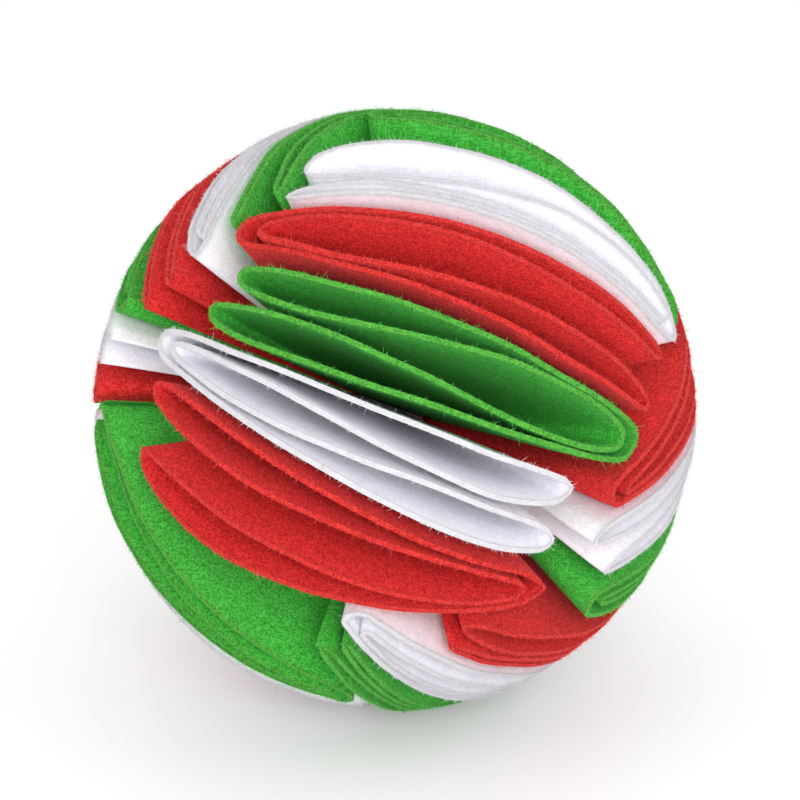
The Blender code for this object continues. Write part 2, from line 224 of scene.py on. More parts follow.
class SnuffleBallSizes(bpy.types.PropertyGroup):
    """Sizes of the ball's felt and thread."""

    ball_diameter: bpy.props.FloatProperty(
        name="Ball diameter", description="Across the ball, and across one flat disc",
        default=0.150, min=0.05, max=0.4, unit="LENGTH", subtype="DISTANCE")
    point_diameter: bpy.props.FloatProperty(
        name="Point diameter", description="Across the drawn-in middle that isn't modelled",
        default=0.025, min=0.01, max=0.1, unit="LENGTH", subtype="DISTANCE")
    felt_thickness: bpy.props.FloatProperty(
        name="Felt thickness", description="Thickness of the felt at its cut rim",
        default=0.0013, min=0.0005, max=0.005, unit="LENGTH", subtype="DISTANCE")
    fold_gap: bpy.props.FloatProperty(
        name="Fold gap", description="Clearance between two layers at a tight fold",
        default=0.0003, min=0.0001, max=0.002, unit="LENGTH", subtype="DISTANCE")
    cut_rounding: bpy.props.FloatProperty(
        name="Cut rounding", description="How far the cut's two edges are worn round",
        default=0.0005, min=0.0001, max=0.001, unit="LENGTH", subtype="DISTANCE")
    rim_unevenness: bpy.props.FloatProperty(
        name="Rim unevenness", description="How far the hand-cut rims stray from the ball",
        default=0.0011, min=0, max=0.003, unit="LENGTH", subtype="DISTANCE")
    ripple: bpy.props.FloatProperty(
        name="Ripple", description="How far the felt ripples to the side",
        default=0.0005, min=0, max=0.002, unit="LENGTH", subtype="DISTANCE")
    rest_depth: bpy.props.FloatProperty(
        name="Rest depth", description="How far the felt is pressed flat where it rests",
        default=0.0005, min=0, max=0.005, unit="LENGTH", subtype="DISTANCE")
    fibre_length: bpy.props.FloatProperty(
        name="Fibre length", description="Usual length of a loose fibre at a cut",
        default=0.0006, min=0.0001, max=0.004, unit="LENGTH", subtype="DISTANCE")
    fibre_diameter: bpy.props.FloatProperty(
        name="Fibre diameter", description="Thickness of a loose tuft of fibres",
        default=0.0001, min=0.00002, max=0.0003, unit="LENGTH", subtype="DISTANCE")
    fibre_spacing: bpy.props.FloatProperty(
        name="Fibre spacing", description="Usual distance between loose fibres along a cut",
        default=0.00017, min=0.0001, max=0.01, unit="LENGTH", subtype="DISTANCE")
    thread_diameter: bpy.props.FloatProperty(
        name="Thread diameter", description="Across the twisted thread through a bunch",
        default=0.0015, min=0.0005, max=0.004, unit="LENGTH", subtype="DISTANCE")
    thread_arc_diameter: bpy.props.FloatProperty(
        name="Thread arc diameter", description="Across the arc on which a thread lies",
        default=0.036, min=0.02, max=0.1, unit="LENGTH", subtype="DISTANCE")
    thread_bend_radius: bpy.props.FloatProperty(
        name="Thread bend radius", description="Bend where a thread turns in to the knot",
        default=0.0025, min=0.001, max=0.01, unit="LENGTH", subtype="DISTANCE")
    thread_twist: bpy.props.FloatProperty(
        name="Thread twist", description="Length of one full turn of the thread's plies",
        default=0.004, min=0.001, max=0.02, unit="LENGTH", subtype="DISTANCE")
    knot_diameter: bpy.props.FloatProperty(
        name="Knot diameter", description="Across the knot that ties the threads",
        default=0.012, min=0.004, max=0.03, unit="LENGTH", subtype="DISTANCE")


class SnuffleBallFinish(bpy.types.PropertyGroup):
    """Colours of the felts and the thread."""

    green: bpy.props.FloatVectorProperty(
        name="Green felt", description="Colour of the green felt", subtype="COLOR",
        default=(0.048, 0.500, 0.040), min=0, max=1)
    # The white felt's slight lavender tint is painted, for the bluish cast of the shade in its
    # pockets.
    white: bpy.props.FloatVectorProperty(
        name="White felt", description="Colour of the white felt", subtype="COLOR",
        default=(0.940, 0.922, 0.985), min=0, max=1)
    red: bpy.props.FloatVectorProperty(
        name="Red felt", description="Colour of the red felt", subtype="COLOR",
        default=(0.800, 0.018, 0.018), min=0, max=1)
    # The thread's own colour isn't known; its near-black is painted shade, for the dark gaps
    # deep in the ball.
    cord: bpy.props.FloatVectorProperty(
        name="Thread", description="Colour of the tie threads and the knot", subtype="COLOR",
        default=(0.055, 0.050, 0.048), min=0, max=1)
    mottle: bpy.props.FloatProperty(
        name="Mottle", description="How much matted fibres vary the colour",
        default=0.5, min=0, max=1, subtype="FACTOR")
    sheen: bpy.props.FloatProperty(
        name="Sheen", description="Soft glow of the fibres at a glancing angle",
        default=0.1, min=0, max=1, subtype="FACTOR")


class SnuffleBallStudio(bpy.types.PropertyGroup):
    """Camera and light."""

    camera_distance: bpy.props.FloatProperty(
        name="Camera distance", description="From the camera to the ball's centre",
        default=0.9, min=0.3, max=3, unit="LENGTH", subtype="DISTANCE")
    camera_elevation: bpy.props.FloatProperty(
        name="Camera elevation", description="How steeply the camera looks down",
        default=math.radians(20), min=0, max=math.radians(90), unit="ROTATION", subtype="ANGLE")
    lens: bpy.props.FloatProperty(
        name="Lens", description="Focal length in millimetres on a 36 mm sensor",
        default=161.5, min=20, max=400)
    overhead_power: bpy.props.FloatProperty(
        name="Overhead power", description="Power of the overhead soft box",
        default=0.9, min=0, max=100, unit="POWER")
    front_power: bpy.props.FloatProperty(
        name="Front power", description="Power of the soft box beside the camera",
        default=11.0, min=0, max=100, unit="POWER")
    room_light: bpy.props.FloatProperty(
        name="Room light", description="Strength of the pale room around the ball",
        default=1.02, min=0, max=3)


def sizes():
    return bpy.context.scene.snuffle_ball_sizes


def finish():
    return bpy.context.scene.snuffle_ball_finish


def studio():
    return bpy.context.scene.snuffle_ball_studio


def seed_of(name):
    return sum((place + 1) * ord(letter) for place, letter in enumerate(name))


# Petals

def bunch_axes(facing):
    """The turn whose X runs along the petals, Y faces out and Z runs across the petals."""
    azimuth, elevation, lean = (math.radians(angle) for angle in facing)
    out = Vector((math.sin(azimuth) * math.cos(elevation),
                  -math.cos(azimuth) * math.cos(elevation),
                  math.sin(elevation)))
    level = Vector((math.cos(azimuth), math.sin(azimuth), 0))
    rise = level.cross(-out)
    along = math.cos(lean) * level + math.sin(lean) * rise
    return Matrix((along, out, along.cross(out))).transposed().to_4x4()


def direction(along, across):
    along = math.radians(along)
    across = math.radians(across)
    return Vector((math.sin(along),
                   math.cos(along) * math.cos(across),
                   math.cos(along) * math.sin(across)))


def tight_fold_angle():
    """Half the width of a tight fold, seen from the ball's centre."""
    radius = (sizes().felt_thickness + sizes().fold_gap) / 2
    return math.degrees(radius / (sizes().ball_diameter / 2))


def swell(share):
    """How far a layer stands off, from 0 at a fold to 1 at its widest point and 0 at its end."""
    def curve(place):
        return math.sqrt(place) * (1 - place) ** 2
    return curve(share) / curve(SWELL_PEAK_SHARE)


def fold_width(share, span, half_angle, along, pressed):
    """Half the width of a fold, in degrees across, at a share of the layer's span from it."""
    depth = min(share * span / half_angle, 1)
    slant = min(share * span / half_angle / PRESSED_LENGTH, 1)
    half = ((1 - pressed) * math.sqrt(1 - (1 - depth) ** 2)
            + pressed * math.sin(slant * math.pi / 2))
    return half_angle * half * (1 - share) ** FOLD_FADE_POWER / math.cos(math.radians(along))


def slimness(share, span, half_angle, pressed):
    """The share of its thickness that the felt keeps beside a fold that is pressed."""
    slant = min(share * span / half_angle / PRESSED_LENGTH, 1)
    half = math.radians(half_angle) * math.sin(slant * math.pi / 2) * sizes().ball_diameter / 2
    room = (2 * half - sizes().fold_gap) / sizes().felt_thickness
    return 1 - pressed * (1 - max(PRESSED_THICKNESS, min(1, room)))


def layer_shares(span, near_angle, far_angle):
    """Places along a layer: close together round both folds and even in between."""
    near = [near_angle / span * (1 - math.cos(math.radians(angle))) for angle in FOLD_ANGLES]
    far = [1 - far_angle / span * (1 - math.cos(math.radians(angle)))
           for angle in reversed(FOLD_ANGLES)]
    middle = [near[-1] + (far[0] - near[-1]) * (1 - math.cos(math.pi * step / LAYER_STEPS)) / 2
              for step in range(1, LAYER_STEPS)]
    return near + middle + far


def layer_line(petal, index, pressed):
    """One layer's rim from its pair end to its nested end, as directions and slimness."""
    pair, nested, pair_side, nested_side, round_outer = LAYERS[index]
    start, end = getattr(petal, pair), getattr(petal, nested)
    pair_swell, nested_swell = petal.swells[index]
    span = abs(end[0] - start[0])
    tight = tight_fold_angle()
    nested_angle = 3 * tight if round_outer else tight
    line = []
    for share in layer_shares(span, tight, nested_angle):
        along = start[0] + (end[0] - start[0]) * share
        across = start[1] + (end[1] - start[1]) * share
        across += pair_side * (pair_swell * swell(share)
                               + fold_width(share, span, tight, along, pressed[0]))
        across += nested_side * (nested_swell * swell(1 - share)
                                 + fold_width(1 - share, span, nested_angle, along,
                                              pressed[1]))
        across += petal.bow * math.sin(math.pi * share)
        slim = min(slimness(share, span, tight, pressed[0]),
                   slimness(1 - share, span, nested_angle, pressed[1]))
        line.append((direction(along, across), slim))
    return line


def rim_line(petal, pressed):
    """The closed rim: out along layer 1, back along 4, out along 3 and back along 2."""
    line = []
    for index, reverse in ((0, False), (3, True), (2, False), (1, True)):
        layer = layer_line(petal, index, pressed)
        if reverse:
            layer.reverse()
        line += layer[:-1]
    return line


def rim_reach(line, seed):
    """How far each place of the rim stands above or below the ball: the cut's slow drift,
    and the small steps that scissors leave."""
    reach = []
    for step in range(len(line)):
        turn = 2 * math.pi * step / len(line)
        circle = Vector((math.cos(turn), math.sin(turn), 0))
        drift = noise.noise(circle * 1.3 + Vector((0, 0, seed)))
        snips = noise.noise(circle * 11 + Vector((0, 0, seed + 0.5)))
        reach.append(sizes().rim_unevenness * (drift + 0.18 * snips))
    return reach


def petal_form(petal, pressed, name, axes):
    """The disc's middle surface, ring by ring from its cut rim in to its point."""
    radius = sizes().ball_diameter / 2
    line = rim_line(petal, pressed)
    reach = rim_reach(line, seed_of(name) % 97)
    form = bmesh.new()
    # The cut share marks how much painted shade the felt's colour takes near the rim.
    cut = form.verts.layers.float.new("cut")
    thin = form.verts.layers.float.new("slim")
    place = form.verts.layers.int.new("place")
    ring = []
    for number, (point, slim) in enumerate(line):
        vertex = form.verts.new(radius * point)
        vertex[cut] = RIM_SHADE_SHARES[0]
        vertex[thin] = slim
        vertex[place] = number
        ring.append(vertex)
    edges = [form.edges.new((ring[i - 1], ring[i])) for i in range(len(ring))]
    depths = [depth * MM for depth in RING_DEPTHS] + [radius - sizes().point_diameter / 2]
    for number in range(1, len(depths)):
        drawn = bmesh.ops.extrude_edge_only(form, edges=edges)["geom"]
        verts = [item for item in drawn if isinstance(item, bmesh.types.BMVert)]
        edges = [item for item in drawn if isinstance(item, bmesh.types.BMEdge)]
        share = (radius - depths[number]) / (radius - depths[number - 1])
        bmesh.ops.scale(form, vec=(share, share, share), verts=verts)
        for vertex in verts:
            vertex[cut] = RIM_SHADE_SHARES[number] if number < len(RIM_SHADE_SHARES) else 0
    bmesh.ops.recalc_face_normals(form, faces=form.faces)
    bmesh.ops.transform(form, matrix=axes, verts=form.verts)
    for vertex in form.verts:
        out = vertex.co.length
        near_rim = max(0, 1 - (radius - out) / REACH_FADE_DEPTH)
        vertex.co *= 1 + reach[vertex[place]] * near_rim / out
        vertex.co += ripple_at(vertex.co)
    return form


def ripple_at(place):
    """A slow sideways ripple that neighbouring layers share, so that they never cross."""
    out = place.length / (sizes().ball_diameter / 2)
    return sizes().ripple * out * noise.noise_vector(place * RIPPLES_PER_METRE)


def link(piece):
    bpy.context.scene.collection.objects.link(piece)
    return piece


def baked(draft, name):
    """The draft's shape with its modifiers applied, as a new piece that replaces it."""
    bpy.context.view_layer.update()
    graph = bpy.context.evaluated_depsgraph_get()
    mesh = bpy.data.meshes.new_from_object(draft.evaluated_get(graph))
    bpy.data.objects.remove(draft, do_unlink=True)
    mesh.name = name
    return link(bpy.data.objects.new(name, mesh))


def add_felt(name, petal, pressed, axes):
    """A felt disc with its thickness, thinner towards its point, and a cut worn round."""
    radius = sizes().ball_diameter / 2
    form = petal_form(petal, pressed, name, axes)
    mesh = bpy.data.meshes.new(name)
    form.to_mesh(mesh)
    form.free()
    mesh.attributes.remove(mesh.attributes["place"])
    mesh.shade_smooth()
    slims = [item.value for item in mesh.attributes["slim"].data]
    draft = link(bpy.data.objects.new(f"{name}_draft", mesh))
    squeeze = draft.vertex_groups.new(name="squeeze")
    for vertex, slim in zip(mesh.vertices, slims):
        squeeze.add([vertex.index], min(vertex.co.length / radius, 1) * slim, "REPLACE")
    felt = draft.modifiers.new("felt", "SOLIDIFY")
    felt.thickness = sizes().felt_thickness
    felt.offset = 0
    felt.use_even_offset = True
    felt.vertex_group = squeeze.name
    rounding = draft.modifiers.new("cut rounding", "BEVEL")
    rounding.width = sizes().cut_rounding
    rounding.segments = 3
    rounding.limit_method = "ANGLE"
    rounding.angle_limit = math.radians(60)
    piece = baked(draft, name)
    floor = sizes().rest_depth - radius
    for vertex in piece.data.vertices:
        vertex.co.z = max(vertex.co.z, floor)
    return piece


def add_fibres(name, petal, pressed, felt_name, axes):
    """Loose fibres that stand out of the cut, most of them short and a few long."""
    radius = sizes().ball_diameter / 2
    line = rim_line(petal, pressed)
    reach = rim_reach(line, seed_of(felt_name) % 97)
    rim = [axes @ ((radius + step) * point) for (point, _), step in zip(line, reach)]
    rim = [point + ripple_at(point) for point in rim]
    floor = sizes().rest_depth - radius
    chance = random.Random(seed_of(name))
    curve = bpy.data.curves.new(name, "CURVE")
    curve.dimensions = "3D"
    curve.bevel_depth = sizes().fibre_diameter / 2
    curve.bevel_resolution = 0
    curve.use_fill_caps = True
    for number, start in enumerate(rim):
        end = rim[(number + 1) % len(rim)]
        half = line[number][1] * sizes().felt_thickness / 2
        run = end - start
        count = run.length / sizes().fibre_spacing
        whole = int(count) + (1 if chance.random() < count % 1 else 0)
        for _ in range(whole):
            point = start + run * chance.random()
            out = point.normalized()
            side = run.cross(out).normalized()
            lean = chance.uniform(-1, 1)
            lean = math.copysign(abs(lean) ** FIBRE_EDGE_POWER, lean)
            root = point + side * lean * half * 0.9 - out * half * abs(lean) ** 3 * 0.3
            aim = (out * chance.uniform(0.1, 1) + side * lean * 1.2
                   + run.normalized() * chance.uniform(-1, 1)).normalized()
            length = sizes().fibre_length * chance.lognormvariate(0, 0.45)
            curl = Vector([chance.uniform(-1, 1) for _ in range(3)]) * length * 0.3
            steps = LONG_FIBRE if length > LONG_FIBRE_LENGTH else SHORT_FIBRE
            spline = curve.splines.new("POLY")
            spline.points.add(len(steps) - 1)
            for knot, (share, taper) in zip(spline.points, steps):
                spot = root + aim * length * share + curl * share * share
                spot.z = max(spot.z, floor)
                knot.co = (*spot, 1)
                knot.radius = taper
    return baked(link(bpy.data.objects.new(f"{name}_draft", curve)), name)


def add_bunch(bunch_name):
    bunch = BUNCHES[bunch_name]
    axes = bunch_axes(bunch.facing)
    for number, petal in enumerate(bunch.petals, 1):
        node = f"{bunch_name}_petal_{number}_{petal.felt}"
        pressed = PRESSED_FOLDS.get((bunch_name, number), USUAL_PRESS)
        felt = add_felt(f"{bunch_name}_felt_{number}_{petal.felt}", petal, pressed, axes)
        fibres = add_fibres(f"{bunch_name}_fibres_{number}", petal, pressed, felt.name, axes)
        for piece, material in ((felt, felt_material(petal.felt)),
                                (fibres, fibre_material(petal.felt))):
            piece.data.materials.clear()
            piece.data.materials.append(material)
            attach(piece, "root")
        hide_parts(node)


# Threads and knot

def thread_route(angles):
    """A thread's mid line across its bunch: in from the knot, round the arc and back."""
    arc_radius = sizes().thread_arc_diameter / 2
    bend_radius = sizes().thread_bend_radius
    bend_centre = arc_radius - bend_radius
    bend_angle = math.asin(bend_radius / bend_centre)
    end_radius = sizes().knot_diameter / 2
    first, last = (math.radians(angle) for angle in angles)

    def bend(from_angle, side):
        centre_angle = from_angle + side * bend_angle
        centre = Vector((0, math.cos(centre_angle), math.sin(centre_angle))) * bend_centre
        points = []
        for step in range(BEND_STEPS + 1):
            turn = (math.pi / 2 + bend_angle) * (1 - step / BEND_STEPS)
            angle = centre_angle - side * turn
            points.append(centre + bend_radius
                          * Vector((0, math.cos(angle), math.sin(angle))))
        return points

    def run(angle):
        line = Vector((0, math.cos(angle), math.sin(angle)))
        reach = math.sqrt(bend_centre ** 2 - bend_radius ** 2)
        return [line * (end_radius + (reach - end_radius) * step / BEND_STEPS)
                for step in range(BEND_STEPS)]

    low, high = first + bend_angle, last - bend_angle
    count = round((high - low) / math.radians(THREAD_ARC_STEP))
    arc = [Vector((0, math.cos(low + (high - low) * step / count),
                   math.sin(low + (high - low) * step / count))) * arc_radius
           for step in range(1, count)]
    return run(first) + bend(first, 1) + arc + (run(last) + bend(last, -1))[::-1]


def add_thread(name, bunch):
    """Three plies twisted round each other along the thread's route."""
    axes = bunch_axes(bunch.facing)
    route = thread_route(bunch.thread)
    ply_radius = sizes().thread_diameter / 4
    curve = bpy.data.curves.new(name, "CURVE")
    curve.dimensions = "3D"
    curve.bevel_depth = ply_radius * 1.1
    curve.bevel_resolution = 2
    curve.use_fill_caps = True
    across = Vector((1, 0, 0))
    for ply in range(THREAD_PLIES):
        spline = curve.splines.new("POLY")
        spline.points.add(len(route) - 1)
        run = 0
        for number, (knot, place) in enumerate(zip(spline.points, route)):
            ahead = route[min(number + 1, len(route) - 1)]
            behind = route[max(number - 1, 0)]
            run += (place - route[max(number - 1, 0)]).length
            side = (ahead - behind).normalized().cross(across)
            turn = 2 * math.pi * (run / sizes().thread_twist + ply / THREAD_PLIES)
            spot = place + ply_radius * 0.95 * (across * math.cos(turn) + side * math.sin(turn))
            knot.co = (*(axes @ spot), 1)
    return baked(link(bpy.data.objects.new(f"{name}_draft", curve)), name)


def add_knot(name):
    """One thread wound over itself into a ball, over a plain core."""
    thread = sizes().thread_diameter
    winding_radius = sizes().knot_diameter / 2 - thread / 4
    curve = bpy.data.curves.new(name, "CURVE")
    curve.dimensions = "3D"
    curve.bevel_depth = thread / 2 * 0.8
    curve.bevel_resolution = 2
    curve.use_fill_caps = True
    steps = KNOT_TURNS * 24
    spline = curve.splines.new("POLY")
    spline.points.add(steps)
    tilt = math.radians(KNOT_TILT)
    for step, knot in enumerate(spline.points):
        turn = 2 * math.pi * step * KNOT_TURNS / steps
        drift = 2 * math.pi * step / steps
        frame_turn = Matrix.Rotation(drift, 3, "Z") @ Matrix.Rotation(tilt, 3, "Y")
        place = frame_turn @ Vector((math.cos(turn), math.sin(turn), 0))
        knot.co = (*(place * winding_radius * (1 + 0.03 * math.sin(3 * drift))), 1)
    winding = baked(link(bpy.data.objects.new(f"{name}_draft", curve)), name)
    form = bmesh.new()
    form.from_mesh(winding.data)
    bmesh.ops.create_icosphere(form, subdivisions=3, radius=winding_radius)
    form.to_mesh(winding.data)
    form.free()
    winding.data.shade_smooth()
    return winding


# Finishes

def fresh_material(name):
    material = bpy.data.materials.new(name)
    material.use_nodes = True
    nodes = material.node_tree.nodes
    return material, nodes, material.node_tree.links, nodes["Principled BSDF"]


def add_streaks(nodes, links, coordinates, stretch):
    """Fine streaks along one axis, at each place as strong as the fibres that run that way."""
    mapping = nodes.new("ShaderNodeMapping")
    mapping.inputs["Scale"].default_value = stretch
    links.new(coordinates, mapping.inputs["Vector"])
    return add_noise(nodes, links, mapping.outputs["Vector"], 1, 2, distortion=0.7)


def add_noise(nodes, links, coordinates, scale, detail, distortion=0, roughness=0.5):
    texture = nodes.new("ShaderNodeTexNoise")
    texture.inputs["Scale"].default_value = scale
    texture.inputs["Detail"].default_value = detail
    texture.inputs["Roughness"].default_value = roughness
    texture.inputs["Distortion"].default_value = distortion
    links.new(coordinates, texture.inputs["Vector"])
    return texture


def lightened(color, share):
    return [channel + (1 - channel) * share for channel in color]


def shaded(color, share):
    return [channel * share for channel in color]


def felt_material(felt):
    """Matted felt: mottled by its fibres, with painted shade at the cut, and a soft sheen."""
    name = f"felt_{felt}_matted"
    if name in bpy.data.materials:
        return bpy.data.materials[name]
    color = list(getattr(finish(), felt))
    mottle = finish().mottle * MOTTLE_SHARES[felt]
    material, nodes, links, shader = fresh_material(name)
    place = nodes.new("ShaderNodeTexCoord").outputs["Object"]
    matting = None
    for stretch in FIBRE_STRETCHES:
        streaks = add_streaks(nodes, links, place, stretch).outputs["Fac"]
        if matting:
            crossing = nodes.new("ShaderNodeMath")
            crossing.operation = "MAXIMUM"
            links.new(matting, crossing.inputs[0])
            links.new(streaks, crossing.inputs[1])
            streaks = crossing.outputs["Value"]
        matting = streaks
    clumps = add_noise(nodes, links, place, 210, 3, distortion=0.6)
    cut = nodes.new("ShaderNodeAttribute")
    cut.attribute_name = "cut"

    fibres = nodes.new("ShaderNodeValToRGB")
    fibres.color_ramp.elements[0].position = 0.48
    fibres.color_ramp.elements[0].color = (*shaded(color, 1 - mottle), 1)
    fibres.color_ramp.elements[1].position = 0.66
    fibres.color_ramp.elements[1].color = (*lightened(shaded(color, 1.04), mottle * 0.05), 1)
    links.new(matting, fibres.inputs["Fac"])

    cloud = nodes.new("ShaderNodeMix")
    cloud.data_type = "RGBA"
    cloud.blend_type = "MULTIPLY"
    cloud.inputs["Factor"].default_value = 1
    depth = nodes.new("ShaderNodeValToRGB")
    depth.color_ramp.elements[0].position = 0.35
    depth.color_ramp.elements[0].color = (0.93, 0.93, 0.93, 1)
    depth.color_ramp.elements[1].position = 0.65
    depth.color_ramp.elements[1].color = (1, 1, 1, 1)
    links.new(clumps.outputs["Fac"], depth.inputs["Fac"])
    links.new(fibres.outputs["Color"], cloud.inputs["A"])
    links.new(depth.outputs["Color"], cloud.inputs["B"])

    # Painted shade at the cut: the colour is multiplied by the rim's painted shades, fading over
    # the rings.
    painted_rim_shade = nodes.new("ShaderNodeMix")
    painted_rim_shade.data_type = "RGBA"
    painted_rim_shade.inputs["A"].default_value = (1, 1, 1, 1)
    painted_rim_shade.inputs["B"].default_value = (*RIM_PAINTED_SHADES[felt], 1)
    links.new(cut.outputs["Fac"], painted_rim_shade.inputs["Factor"])
    painted_rim_color = nodes.new("ShaderNodeMix")
    painted_rim_color.data_type = "RGBA"
    painted_rim_color.blend_type = "MULTIPLY"
    painted_rim_color.inputs["Factor"].default_value = 1
    links.new(cloud.outputs["Result"], painted_rim_color.inputs["A"])
    links.new(painted_rim_shade.outputs["Result"], painted_rim_color.inputs["B"])
    links.new(painted_rim_color.outputs["Result"], shader.inputs["Base Color"])

    worn = nodes.new("ShaderNodeMapRange")
    worn.inputs["To Min"].default_value = 0.86
    worn.inputs["To Max"].default_value = 1
    links.new(matting, worn.inputs["Value"])
    links.new(worn.outputs["Result"], shader.inputs["Roughness"])

    height = nodes.new("ShaderNodeMath")
    height.operation = "ADD"
    links.new(matting, height.inputs[0])
    links.new(clumps.outputs["Fac"], height.inputs[1])
    bump = nodes.new("ShaderNodeBump")
    bump.inputs["Strength"].default_value = BUMP_STRENGTHS[felt]
    bump.inputs["Distance"].default_value = 0.0005
    links.new(height.outputs["Value"], bump.inputs["Height"])
    links.new(bump.outputs["Normal"], shader.inputs["Normal"])

    shader.inputs["Specular IOR Level"].default_value = 0.15
    shader.inputs["Sheen Weight"].default_value = finish().sheen
    shader.inputs["Sheen Roughness"].default_value = 0.5
    shader.inputs["Sheen Tint"].default_value = (*lightened(color, 0.35), 1)
    return material


def fibre_material(felt):
    """Single fibres: the felt's colour darkened as painted shade, most for white, and varied
    from tuft to tuft.
    """
    name = f"felt_{felt}_fibre"
    if name in bpy.data.materials:
        return bpy.data.materials[name]
    color = shaded(list(getattr(finish(), felt)), FIBRE_PAINTED_SHADES[felt])
    material, nodes, links, shader = fresh_material(name)
    place = nodes.new("ShaderNodeTexCoord").outputs["Object"]
    tufts = add_noise(nodes, links, place, 700, 2)
    tone = nodes.new("ShaderNodeValToRGB")
    tone.color_ramp.elements[0].position = 0.35
    tone.color_ramp.elements[0].color = (*shaded(color, 0.9), 1)
    tone.color_ramp.elements[1].position = 0.7
    tone.color_ramp.elements[1].color = (*lightened(shaded(color, 1.1), 0.10), 1)
    links.new(tufts.outputs["Fac"], tone.inputs["Fac"])
    links.new(tone.outputs["Color"], shader.inputs["Base Color"])
    shader.inputs["Roughness"].default_value = 0.8
    shader.inputs["Specular IOR Level"].default_value = 0.2
    return material


def thread_material():
    """Waxed cotton thread, with painted shade in the grooves between its fibres."""
    name = "thread_cotton"
    if name in bpy.data.materials:
        return bpy.data.materials[name]
    color = list(finish().cord)
    material, nodes, links, shader = fresh_material(name)
    place = nodes.new("ShaderNodeTexCoord").outputs["Object"]
    cotton = add_noise(nodes, links, place, 2600, 3, distortion=0.8)
    # The grooves, low in the same noise that drives the bump, are painted darker as shade.
    tone = nodes.new("ShaderNodeValToRGB")
    tone.color_ramp.elements[0].position = 0.35
    tone.color_ramp.elements[0].color = (*shaded(color, 0.7), 1)
    tone.color_ramp.elements[1].position = 0.65
    tone.color_ramp.elements[1].color = (*color, 1)
    links.new(cotton.outputs["Fac"], tone.inputs["Fac"])
    links.new(tone.outputs["Color"], shader.inputs["Base Color"])
    bump = nodes.new("ShaderNodeBump")
    bump.inputs["Strength"].default_value = 0.4
    bump.inputs["Distance"].default_value = 0.0001
    links.new(cotton.outputs["Fac"], bump.inputs["Height"])
    links.new(bump.outputs["Normal"], shader.inputs["Normal"])
    shader.inputs["Roughness"].default_value = 0.55
    return material


# Stage

def add_soft_box(name, power, size, place):
    lamp = bpy.data.lights.new(name, "AREA")
    lamp.energy = power
    lamp.shape = "DISK"
    lamp.size = size
    box = link(bpy.data.objects.new(name, lamp))
    box.location = place
    box.rotation_euler = (-Vector(place)).to_track_quat("-Z", "Y").to_euler()
    return box


def add_floor():
    """Pale studio paper that whitens away from the ball and keeps its shadow."""
    form = bmesh.new()
    bmesh.ops.create_grid(form, x_segments=1, y_segments=1, size=FLOOR_HALF_WIDTH)
    bmesh.ops.translate(form, vec=(0, 0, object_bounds()[0][2]), verts=form.verts)
    mesh = bpy.data.meshes.new("studio_paper")
    form.to_mesh(mesh)
    form.free()
    floor = link(bpy.data.objects.new("studio_paper", mesh))
    material, nodes, links, shader = fresh_material("studio_paper")
    shader.inputs["Base Color"].default_value = (0.92, 0.92, 0.92, 1)
    shader.inputs["Roughness"].default_value = 0.45
    shader.inputs["Specular IOR Level"].default_value = 0.3
    place = nodes.new("ShaderNodeTexCoord").outputs["Object"]
    distance = nodes.new("ShaderNodeVectorMath")
    distance.operation = "LENGTH"
    links.new(place, distance.inputs[0])
    fade = nodes.new("ShaderNodeMapRange")
    fade.interpolation_type = "SMOOTHSTEP"
    fade.inputs["From Min"].default_value = 0.05
    fade.inputs["From Max"].default_value = 0.28
    fade.inputs["To Min"].default_value = 0.2
    links.new(distance.outputs["Value"], fade.inputs["Value"])
    rays = nodes.new("ShaderNodeLightPath")
    seen = nodes.new("ShaderNodeMath")
    seen.operation = "MAXIMUM"
    links.new(rays.outputs["Is Camera Ray"], seen.inputs[0])
    links.new(rays.outputs["Is Glossy Ray"], seen.inputs[1])
    white_share = nodes.new("ShaderNodeMath")
    white_share.operation = "MULTIPLY"
    links.new(seen.outputs["Value"], white_share.inputs[0])
    links.new(fade.outputs["Result"], white_share.inputs[1])
    white = nodes.new("ShaderNodeEmission")
    blend = nodes.new("ShaderNodeMixShader")
    links.new(white_share.outputs["Value"], blend.inputs["Fac"])
    links.new(shader.outputs["BSDF"], blend.inputs[1])
    links.new(white.outputs["Emission"], blend.inputs[2])
    links.new(blend.outputs["Shader"], nodes["Material Output"].inputs["Surface"])
    floor.data.materials.append(material)
    floor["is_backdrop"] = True
    return floor


def add_room():
    """A pale room that lights the ball evenly and is seen as plain white."""
    world = bpy.data.worlds.new("pale_room")
    world.use_nodes = True
    bpy.context.scene.world = world
    nodes, links = world.node_tree.nodes, world.node_tree.links
    room = nodes["Background"]
    room.inputs["Color"].default_value = (1, 1, 1, 1)
    room.inputs["Strength"].default_value = studio().room_light
    white = nodes.new("ShaderNodeBackground")
    white.inputs["Color"].default_value = (1, 1, 1, 1)
    white.inputs["Strength"].default_value = 1
    rays = nodes.new("ShaderNodeLightPath")
    mirrored = nodes.new("ShaderNodeMath")
    mirrored.operation = "MAXIMUM"
    links.new(rays.outputs["Is Glossy Ray"], mirrored.inputs[0])
    links.new(rays.outputs["Is Transmission Ray"], mirrored.inputs[1])
    seen = nodes.new("ShaderNodeMath")
    seen.operation = "MAXIMUM"
    links.new(rays.outputs["Is Camera Ray"], seen.inputs[0])
    links.new(mirrored.outputs["Value"], seen.inputs[1])
    blend = nodes.new("ShaderNodeMixShader")
    links.new(seen.outputs["Value"], blend.inputs["Fac"])
    links.new(room.outputs["Background"], blend.inputs[1])
    links.new(white.outputs["Background"], blend.inputs[2])
    links.new(blend.outputs["Shader"], nodes["World Output"].inputs["Surface"])


